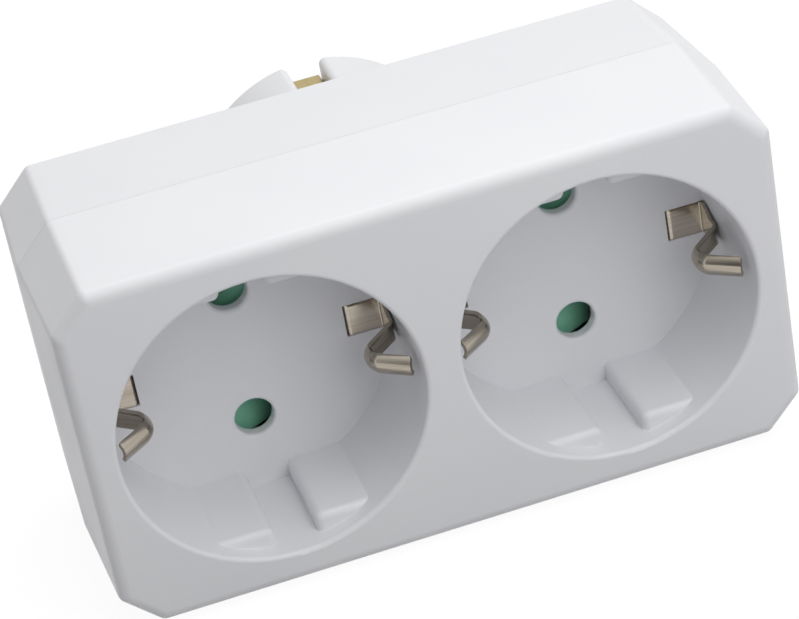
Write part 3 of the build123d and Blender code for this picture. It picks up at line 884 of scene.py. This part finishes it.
class ADAPTER_OT_earth_clips(bpy.types.Operator):
    """Bends the four earth clips of the sockets"""

    bl_idname = "adapter.earth_clips"
    bl_label = "Earth clips"

    def execute(self, context):
        form = settings().strips
        look = settings().finishes
        colours = (look.nickel_colour, look.nickel_shade)
        lines = (0.08, 0.08, 4.0)
        nickel = make_metal("plated_strip", colours, roughness=(0.12, 0.24), scales=(900, 160), stretch=lines)
        for socket in sockets:
            for side_name, side in clip_sides:
                self.bend_clip(form, f"earth_clip_{socket}_socket_{side_name}", socket, side, nickel)
        return {"FINISHED"}

    def bend_clip(self, form, node, socket, side, nickel):
        """One clip: tail behind the floor, tab sunk in the floor, arched spring at the recess wall."""
        low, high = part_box(node)
        axis_x, axis_z = socket_axis(socket)
        tab_z = (low[2] + high[2]) / 2
        tab_width = high[2] - low[2]
        reach = max(abs(low[0] - axis_x), abs(high[0] - axis_x)) - form.clip_thickness / 2
        tail_end = min(abs(low[0] - axis_x), abs(high[0] - axis_x))
        tail_depth = high[1] - front_y - form.clip_thickness / 2
        bulge = reach - form.clip_bulge
        tab_outline = (
            (tail_end, tail_depth),
            (form.clip_slot, tail_depth),
            (form.clip_slot, form.clip_tab_depth),
            (reach, form.clip_tab_depth),
            (reach, form.clip_taper_depth),
        )
        spring_outline = (
            (reach, form.clip_spring_depth),
            (reach, form.clip_shoulder_depth),
            (bulge, form.clip_bulge_depth + form.clip_bulge_length / 2),
            (bulge, form.clip_bulge_depth - form.clip_bulge_length / 2),
        )
        corners = [Vector((axis_x + side * out, front_y + depth, tab_z)) for out, depth in tab_outline]
        corners += [Vector((axis_x + side * out, front_y + depth, axis_z)) for out, depth in spring_outline]
        widths = [tab_width] * len(tab_outline) + [form.clip_spring_width] * len(spring_outline)
        tip = Vector((axis_x + side * (reach - form.clip_tip_gap), front_y + form.clip_tip_depth, axis_z))
        back = (corners[-1] - tip).normalized()
        for step in range(form.tip_steps):
            angle = radians(90) * step / form.tip_steps
            corners.append(tip + back * form.clip_tip_radius * (1 - sin(angle)))
            widths.append(form.clip_spring_width - 2 * form.clip_tip_radius * (1 - cos(angle)))
        bend = form.clip_bend_radius
        bulge_bend = form.clip_bulge_radius
        radii = (bend, bend, bend, 0, 0, form.clip_shoulder_radius, bulge_bend, bulge_bend)
        clip = bend_sheet(f"{node}_strip", corners, widths, radii, "Z")
        self.arch_spring(form, clip, axis_x, axis_z, side)
        thicken(clip, form.clip_thickness)
        rivet_x = axis_x + side * (form.clip_slot - form.rivet_offset)
        drill(clip, (rivet_x, front_y + tail_depth, axis_z), form.rivet_radius, form.clip_thickness)
        finish_piece(clip, nickel, node)
        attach(clip, "housing")

    def arch_spring(self, form, clip, axis_x, axis_z, side):
        """Raises the middle of the spring towards the plug, from none at its root to all at its bulge."""
        bpy.ops.object.mode_set(mode="EDIT")
        select_edges(lambda middle, run: abs(run.z) > run.xy.length)
        bpy.ops.mesh.subdivide(number_cuts=form.arch_steps - 1)
        bpy.ops.object.mode_set(mode="OBJECT")
        root = front_y + form.clip_spring_depth
        full = front_y + form.clip_bulge_depth + form.clip_bulge_length / 2
        crown = clip.vertex_groups.new(name="crown")
        for vertex in clip.data.vertices:
            growth = min(max((root - vertex.co.y) / (root - full), 0), 1)
            across = 2 * (vertex.co.z - axis_z) / form.clip_spring_width
            crown.add([vertex.index], growth * max(1 - across**2, 0), "REPLACE")
        nose = min(
            (face for face in clip.data.polygons if face.center.y < root),
            key=lambda face: abs(face.center.x - axis_x),
        )
        rise = -side * form.clip_crown if nose.normal.x > 0 else side * form.clip_crown
        apply_modifier(clip, "DISPLACE", direction="NORMAL", mid_level=0, strength=rise, vertex_group="crown")
        bpy.ops.object.vertex_group_remove(all=True)


class ADAPTER_OT_plug_contacts(bpy.types.Operator):
    """Finishes the plug pins and bends the plug's earth strip"""

    bl_idname = "adapter.plug_contacts"
    bl_label = "Plug contacts"

    def execute(self, context):
        form = settings().strips
        look = settings().finishes
        rings = (0.2, 6.0, 0.2)
        colours = (look.pin_colour, look.pin_shade)
        plated = make_metal("plated_pin", colours, roughness=(0.16, 0.26), scales=(700, 120), stretch=rings)
        give_finish(pin_nodes, plated)

        low, high = bracket_box
        half = form.plug_strip_thickness / 2
        middle_x = (low[0] + high[0]) / 2
        corners = [
            Vector((middle_x, high[1], high[2] - half)),
            Vector((middle_x, low[1] + half, high[2] - half)),
            Vector((middle_x, low[1] + half, low[2] + half)),
            Vector((middle_x, high[1], low[2] + half)),
        ]
        radii = 2 * (form.plug_strip_radius,)
        widths = len(corners) * (high[0] - low[0],)
        strip = bend_sheet("plug_earth_strip", corners, widths, radii, "X")
        thicken(strip, form.plug_strip_thickness)
        centre = (middle_x, low[1] + half, (low[2] + high[2]) / 2)
        drill(strip, centre, form.rivet_radius, form.plug_strip_thickness)
        colours = (look.brass_colour, look.brass_shade)
        along = (4.0, 0.08, 0.08)
        brass = make_metal("brass_strip", colours, roughness=(0.26, 0.40), scales=(900, 160), stretch=along)
        finish_piece(strip, brass, "plug_earth_bracket")
        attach(strip, "housing")
        return {"FINISHED"}


class ADAPTER_OT_inner_metal(bpy.types.Operator):
    """Finishes the brass bars, rivets and small screws inside"""

    bl_idname = "adapter.inner_metal"
    bl_label = "Metal inside"

    def execute(self, context):
        look = settings().finishes
        colours = (look.brass_colour, look.brass_shade)
        along = (0.1, 2.0, 3.0)
        brass = make_metal("rolled_brass", colours, roughness=(0.28, 0.42), scales=(800, 140), stretch=along)
        give_finish(brass_nodes, brass)
        colours = (look.steel_colour, look.steel_shade)
        steel = make_metal("plated_steel", colours, roughness=(0.28, 0.40), scales=(900, 200))
        give_finish(steel_nodes, steel)
        return {"FINISHED"}


class ADAPTER_OT_cover_screws(bpy.types.Operator):
    """Models the four screws that hold the covers together"""

    bl_idname = "adapter.cover_screws"
    bl_label = "Cover screws"

    def execute(self, context):
        form = settings().screws
        look = settings().finishes
        low, high = seat_box
        screw = self.turn_screw(form, high[1] - form.head_height, low[1])
        self.cut_cross(form, screw, high[1])
        copies = []
        corners = [(x, z) for x in (low[0], high[0]) for z in (low[2], high[2])]
        middle_x = (low[0] + high[0]) / 2
        middle_z = (low[2] + high[2]) / 2
        for (x, z), turn in zip(corners, screw_turns):
            make_active(screw)
            bpy.ops.object.duplicate()
            copy = bpy.context.object
            inward_x = form.head_radius if x < middle_x else -form.head_radius
            inward_z = form.head_radius if z < middle_z else -form.head_radius
            copy.location = (x + inward_x, 0, z + inward_z)
            copy.rotation_euler = (0, radians(turn), 0)
            place_in_mesh()
            copies.append(copy)
        make_active(screw)
        bpy.ops.object.delete()
        for copy in copies:
            copy.select_set(True)
        bpy.context.view_layer.objects.active = copies[0]
        bpy.ops.object.join()
        screws = bpy.context.object
        name_piece(screws, "cover_screw_set")
        colours = (look.steel_colour, look.steel_shade)
        steel = make_metal("screw_steel", colours, roughness=(0.26, 0.38), scales=(1200, 260))
        finish_piece(screws, steel, "cover_screws")
        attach(screws, "housing")
        return {"FINISHED"}

    def turn_screw(self, form, seat, tip):
        """Screw on the Y axis: domed head behind its seat, ridged shank in front."""
        dome = (form.head_radius**2 + form.head_height**2) / (2 * form.head_height)
        deselect_all()
        bpy.ops.mesh.primitive_uv_sphere_add(
            segments=form.head_faces,
            ring_count=form.head_rings,
            radius=dome,
            location=(0, seat + form.head_height - dome, 0),
            rotation=(radians(90), 0, 0),
        )
        screw = bpy.context.object
        name_piece(screw, "cover_screw")
        place_in_mesh()
        bpy.ops.object.mode_set(mode="EDIT")
        bpy.ops.mesh.select_all(action="SELECT")
        bpy.ops.mesh.bisect(plane_co=(0, seat, 0), plane_no=(0, 1, 0), use_fill=True, clear_inner=True)
        bpy.ops.mesh.select_mode(type="FACE")
        bpy.ops.mesh.inset(thickness=form.head_radius - form.shank_radius)
        ridges = int((seat - tip) / form.thread_pitch)
        step = (seat - tip) / ridges / 2
        for share in ridges * (form.thread_root, 1 / form.thread_root):
            draw_out((0, -step, 0))
            bpy.ops.transform.resize(value=(share, 1, share))
        face_outwards()
        return screw

    def cut_cross(self, form, screw, top):
        """Cross recess in the head, narrower towards its bottom."""
        for spans in ((form.recess_span, form.recess_width), (form.recess_width, form.recess_span)):
            deselect_all()
            bpy.ops.mesh.primitive_cube_add(size=1, location=(0, top, 0))
            slot = bpy.context.object
            slot.scale = (spans[0], 2 * form.recess_depth, spans[1])
            place_in_mesh()
            bpy.ops.object.mode_set(mode="EDIT")
            select_edges(lambda middle, run: middle.y < top - form.recess_depth + pick_distance)
            bpy.ops.transform.resize(value=(form.recess_taper, 1, form.recess_taper))
            bpy.ops.object.mode_set(mode="OBJECT")
            cut_away(screw, slot)


# Studio

floor_corners = 96

# Width of the camera's film in millimetres, and the nearest point that it shows in metres
film_width = 36
nearest_view = 0.01


def larger(tree, first, second):
    """Output that is the larger of two others."""
    node = tree.nodes.new("ShaderNodeMath")
    node.operation = "MAXIMUM"
    tree.links.new(first, node.inputs[0])
    tree.links.new(second, node.inputs[1])
    return node.outputs["Value"]


class ADAPTER_OT_studio(bpy.types.Operator):
    """Sets up the floor, the light and the camera"""

    bl_idname = "adapter.studio"
    bl_label = "Studio"

    def execute(self, context):
        studio = settings().studio
        context.scene.view_settings.view_transform = "Standard"
        self.lay_floor(studio)
        self.light_room(context, studio)
        self.place_camera(context, studio)
        return {"FINISHED"}

    def lay_floor(self, studio):
        """Round pale floor that the camera and reflections see nearly white, with the shadow left on it."""
        deselect_all()
        level = cad_box[0][2]
        bpy.ops.mesh.primitive_circle_add(
            vertices=floor_corners, radius=studio.floor_radius, fill_type="NGON", location=(0, 0, level)
        )
        floor = bpy.context.object
        name_piece(floor, "studio_floor")
        place_in_mesh()
        material = bpy.data.materials.new("pale_floor")
        material.use_nodes = True
        tree = material.node_tree
        tree.nodes.clear()
        path = tree.nodes.new("ShaderNodeLightPath")
        mirrored = larger(tree, path.outputs["Is Camera Ray"], path.outputs["Is Glossy Ray"])
        seen = larger(tree, mirrored, path.outputs["Is Transmission Ray"])
        matt = tree.nodes.new("ShaderNodeBsdfDiffuse")
        matt.inputs["Color"].default_value = (*studio.floor_colour, 1)
        white = tree.nodes.new("ShaderNodeEmission")
        white.inputs["Strength"].default_value = studio.floor_glow
        share = tree.nodes.new("ShaderNodeMath")
        share.operation = "MULTIPLY"
        share.inputs[1].default_value = studio.floor_white
        tree.links.new(seen, share.inputs[0])
        mix = tree.nodes.new("ShaderNodeMixShader")
        tree.links.new(share.outputs["Value"], mix.inputs["Fac"])
        tree.links.new(matt.outputs["BSDF"], mix.inputs[1])
        tree.links.new(white.outputs["Emission"], mix.inputs[2])
        result = tree.nodes.new("ShaderNodeOutputMaterial")
        tree.links.new(mix.outputs["Shader"], result.inputs["Surface"])
        floor.data.materials.append(material)

    def light_room(self, context, studio):
        """Even room light, white to the camera, with a dark side in reflections, and three soft lamps."""
        world = bpy.data.worlds.new("studio_room")
        context.scene.world = world
        world.use_nodes = True
        tree = world.node_tree
        tree.nodes.clear()
        path = tree.nodes.new("ShaderNodeLightPath")

        # Reflections see a white room with a dark side
        place = tree.nodes.new("ShaderNodeTexCoord")
        facing = tree.nodes.new("ShaderNodeVectorMath")
        facing.operation = "DOT_PRODUCT"
        facing.inputs[1].default_value = Vector(studio.dark_side).normalized()
        tree.links.new(place.outputs["Generated"], facing.inputs[0])
        tone = tree.nodes.new("ShaderNodeMapRange")
        tone.interpolation_type = "SMOOTHSTEP"
        tone.inputs["From Min"].default_value = cos(studio.dark_edge)
        tone.inputs["From Max"].default_value = cos(studio.dark_core)
        tone.inputs["To Min"].default_value = 1
        tone.inputs["To Max"].default_value = studio.dark_tone
        tree.links.new(facing.outputs["Value"], tone.inputs["Value"])
        reflected = tree.nodes.new("ShaderNodeMix")
        reflected.inputs["A"].default_value = studio.room_light
        tree.links.new(path.outputs["Is Glossy Ray"], reflected.inputs["Factor"])
        tree.links.new(tone.outputs["Result"], reflected.inputs["B"])

        # The camera sees plain white
        seen = larger(tree, path.outputs["Is Camera Ray"], path.outputs["Is Transmission Ray"])
        level = tree.nodes.new("ShaderNodeMix")
        level.inputs["B"].default_value = 1
        tree.links.new(seen, level.inputs["Factor"])
        tree.links.new(reflected.outputs["Result"], level.inputs["A"])
        room = tree.nodes.new("ShaderNodeBackground")
        room.inputs["Color"].default_value = (1, 1, 1, 1)
        tree.links.new(level.outputs["Result"], room.inputs["Strength"])
        result = tree.nodes.new("ShaderNodeOutputWorld")
        tree.links.new(room.outputs["Background"], result.inputs["Surface"])

        self.hang_lamp("key_light", studio, studio.key_place, studio.key_size, studio.key_power)
        self.hang_lamp("back_light", studio, studio.back_place, studio.back_size, studio.back_power)
        self.hang_lamp("fill_light", studio, studio.fill_place, studio.fill_size, studio.fill_power)

    def hang_lamp(self, name, studio, place, size, power):
        """Square soft lamp that faces the adapter."""
        aim = Vector(studio.camera_aim) - Vector(place)
        deselect_all()
        turn = aim.to_track_quat("-Z", "Y").to_euler()
        bpy.ops.object.light_add(type="AREA", location=place, rotation=turn)
        lamp = bpy.context.object
        lamp.name = name
        lamp.data.shape = "SQUARE"
        lamp.data.size = size
        lamp.data.energy = power

    def place_camera(self, context, studio):
        """Camera at the photograph's angle."""
        aim = Vector(studio.camera_aim) - Vector(studio.camera_place)
        turn = aim.to_track_quat("-Z", "Y").to_matrix() @ Euler((0, 0, studio.camera_roll)).to_matrix()
        deselect_all()
        bpy.ops.object.camera_add(location=studio.camera_place, rotation=turn.to_euler())
        camera = bpy.context.object
        camera.name = "photo_camera"
        camera.data.sensor_width = film_width
        camera.data.sensor_fit = "HORIZONTAL"
        camera.data.lens = studio.camera_lens
        camera.data.clip_start = nearest_view
        context.scene.camera = camera


# Add-on


class AdapterSettings(bpy.types.PropertyGroup):
    """All settings of the adapter."""

    finishes: PointerProperty(type=AdapterFinishes, name="Finishes", description="Colours of the materials")
    strips: PointerProperty(type=AdapterStrips, name="Strips", description="Sizes of the earth strips")
    springs: PointerProperty(type=AdapterSprings, name="Springs", description="Sizes of the wire springs")
    screws: PointerProperty(type=AdapterScrews, name="Screws", description="Sizes of the cover screws")
    studio: PointerProperty(type=AdapterStudio, name="Studio", description="Camera, floor and light")


steps = (
    ADAPTER_OT_covers,
    ADAPTER_OT_shutters,
    ADAPTER_OT_shutter_springs,
    ADAPTER_OT_earth_clips,
    ADAPTER_OT_plug_contacts,
    ADAPTER_OT_inner_metal,
    ADAPTER_OT_cover_screws,
    ADAPTER_OT_studio,
)


class ADAPTER_PT_sidebar(bpy.types.Panel):
    """Lists the steps and settings of the adapter"""

    bl_idname = "ADAPTER_PT_sidebar"
    bl_label = "Socket adapter"
    bl_space_type = "VIEW_3D"
    bl_region_type = "UI"
    bl_category = "Adapter"

    def draw(self, context):
        for step in steps:
            self.layout.operator(step.bl_idname)
        form = settings()
        for group in (form.finishes, form.strips, form.springs, form.screws, form.studio):
            box = self.layout.box()
            for name in group.__annotations__:
                box.prop(group, name)


classes = (
    AdapterFinishes,
    AdapterStrips,
    AdapterSprings,
    AdapterScrews,
    AdapterStudio,
    AdapterSettings,
    *steps,
    ADAPTER_PT_sidebar,
)


def register():
    """Registers the classes and puts the settings on the scene."""
    for cls in classes:
        bpy.utils.register_class(cls)
    bpy.types.Scene.adapter = PointerProperty(type=AdapterSettings)


def unregister():
    """Takes the settings off the scene and unregisters the classes."""
    del bpy.types.Scene.adapter
    for cls in reversed(classes):
        bpy.utils.unregister_class(cls)


def main():
    """Makes the whole scene."""
    register()
    bpy.ops.adapter.covers()
    bpy.ops.adapter.shutters()
    bpy.ops.adapter.shutter_springs()
    bpy.ops.adapter.earth_clips()
    bpy.ops.adapter.plug_contacts()
    bpy.ops.adapter.inner_metal()
    bpy.ops.adapter.cover_screws()
    bpy.ops.adapter.studio()


if __name__ == "__main__":
    main()
